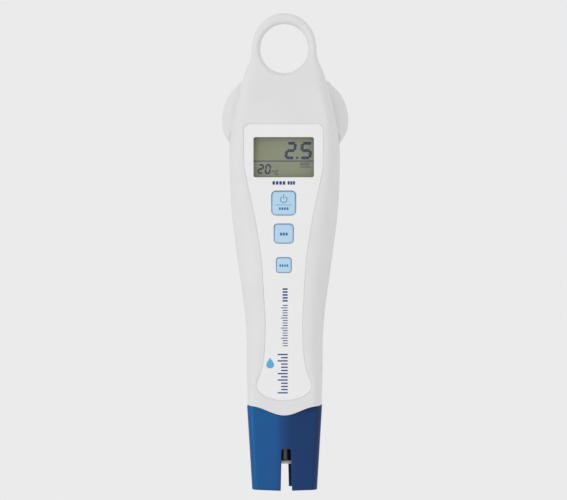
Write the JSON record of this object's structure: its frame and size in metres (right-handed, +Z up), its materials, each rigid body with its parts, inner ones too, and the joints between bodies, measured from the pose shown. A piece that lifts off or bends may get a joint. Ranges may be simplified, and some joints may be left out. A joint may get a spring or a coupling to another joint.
{
  "type": "conductivity test pen",
  "caption": "Hand-held conductivity pen with a hanging loop, small display, push keys, rear battery cap with a lock screw, and a slotted pull-off shroud over the probe.",
  "frame": {"origin": "centre of the object's box in plan, on the flat lower end of the probe shroud", "axes": "+Z up along the pen towards the hanging loop; the display and keys face -Y, the battery cap faces +Y"},
  "size_m": [0.0484, 0.034, 0.18],
  "materials": {
    "shell_white": "satin moulded plastic",
    "inner_plastic": "plain moulded plastic",
    "label_white": "printed polyester sheet",
    "lens_clear": "clear window",
    "lcd_green": "liquid crystal panel",
    "reflector_silver": "satin foil",
    "black_plastic": "smooth black plastic",
    "seal_rubber": "matt",
    "board_green": "solder mask",
    "plated_steel": "plated",
    "cell_sleeve": "printed sleeve",
    "wire_red": "wire insulation",
    "key_blue": "satin silicone",
    "shroud_blue": "satin moulded plastic",
    "probe_face": "smooth",
    "graphite": "ground flat"
  },
  "bodies": {
    "casing": {"front_housing": "shell_white", "rear_housing": "shell_white", "battery_tube": "inner_plastic", "probe_holder": "inner_plastic", "label_overlay": "label_white", "display_lens": "lens_clear", "lcd_panel": "lcd_green", "lcd_reflector": "reflector_silver", "lcd_bezel": "black_plastic", "microcontroller": "black_plastic", "amplifier_chip": "black_plastic", "battery_wire_negative": "black_plastic", "probe_stem": "black_plastic", "probe_cable": "black_plastic", "housing_gasket": "seal_rubber", "contact_strip_top": "seal_rubber", "contact_strip_bottom": "seal_rubber", "keypad_mat": "seal_rubber", "cap_seal_ring": "seal_rubber", "holder_seal": "seal_rubber", "probe_seal_ring": "seal_rubber", "main_board": "board_green", "crystal_can": "plated_steel", "dome_power": "plated_steel", "dome_cal": "plated_steel", "dome_units": "plated_steel", "battery_contact": "plated_steel", "casing_screw_lower_left": "plated_steel", "casing_screw_lower_right": "plated_steel", "casing_screw_upper_left": "plated_steel", "casing_screw_upper_right": "plated_steel", "battery_cell": "cell_sleeve", "temperature_sensor": "cell_sleeve", "battery_wire_positive": "wire_red", "probe_end_face": "probe_face", "electrode_left": "graphite", "electrode_right": "graphite"},
    "battery_cap_body": {"battery_cap": "shell_white", "cap_contact": "plated_steel", "cap_spring": "plated_steel"},
    "lock_screw_carrier": {"lock_screw_washer": "seal_rubber"},
    "lock_screw_body": {"lock_screw": "plated_steel"},
    "power_key": {"key_power": "key_blue"},
    "cal_key": {"key_cal": "key_blue"},
    "units_key": {"key_units": "key_blue"},
    "shroud": {"probe_shroud": "shroud_blue"}
  },
  "joints": [
    {"name": "power_key_press", "type": "slide", "parent": "casing", "child": "power_key", "axis": [0, 1, 0], "range_m": [0, 0.0005], "stiffness_N_per_m": 1500, "springref_m": -0.0005},
    {"name": "cal_key_press", "type": "slide", "parent": "casing", "child": "cal_key", "axis": [0, 1, 0], "range_m": [0, 0.0005], "stiffness_N_per_m": 1500, "springref_m": -0.0005},
    {"name": "units_key_press", "type": "slide", "parent": "casing", "child": "units_key", "axis": [0, 1, 0], "range_m": [0, 0.0005], "stiffness_N_per_m": 1500, "springref_m": -0.0005},
    {"name": "lock_screw_travel", "type": "slide", "parent": "casing", "child": "lock_screw_carrier", "axis": [0, 1, 0], "range_m": [0, 0.0015]},
    {"name": "lock_screw_turn", "type": "hinge", "parent": "lock_screw_carrier", "child": "lock_screw_body", "pos_m": [0, 0.0157, 0.1175], "axis": [0, 1, 0], "range_deg": [0, 1081]},
    {"name": "battery_cap_slide", "type": "slide", "parent": "casing", "child": "battery_cap_body", "axis": [0, 0, 1], "range_m": [0, 0.024]},
    {"name": "shroud_slide", "type": "slide", "parent": "casing", "child": "shroud", "axis": [0, 0, -1], "range_m": [0, 0.034]}
  ],
  "couplings": [
    {"joint": "lock_screw_turn", "follows": "lock_screw_travel", "rad_per_m": 12566}
  ]
}
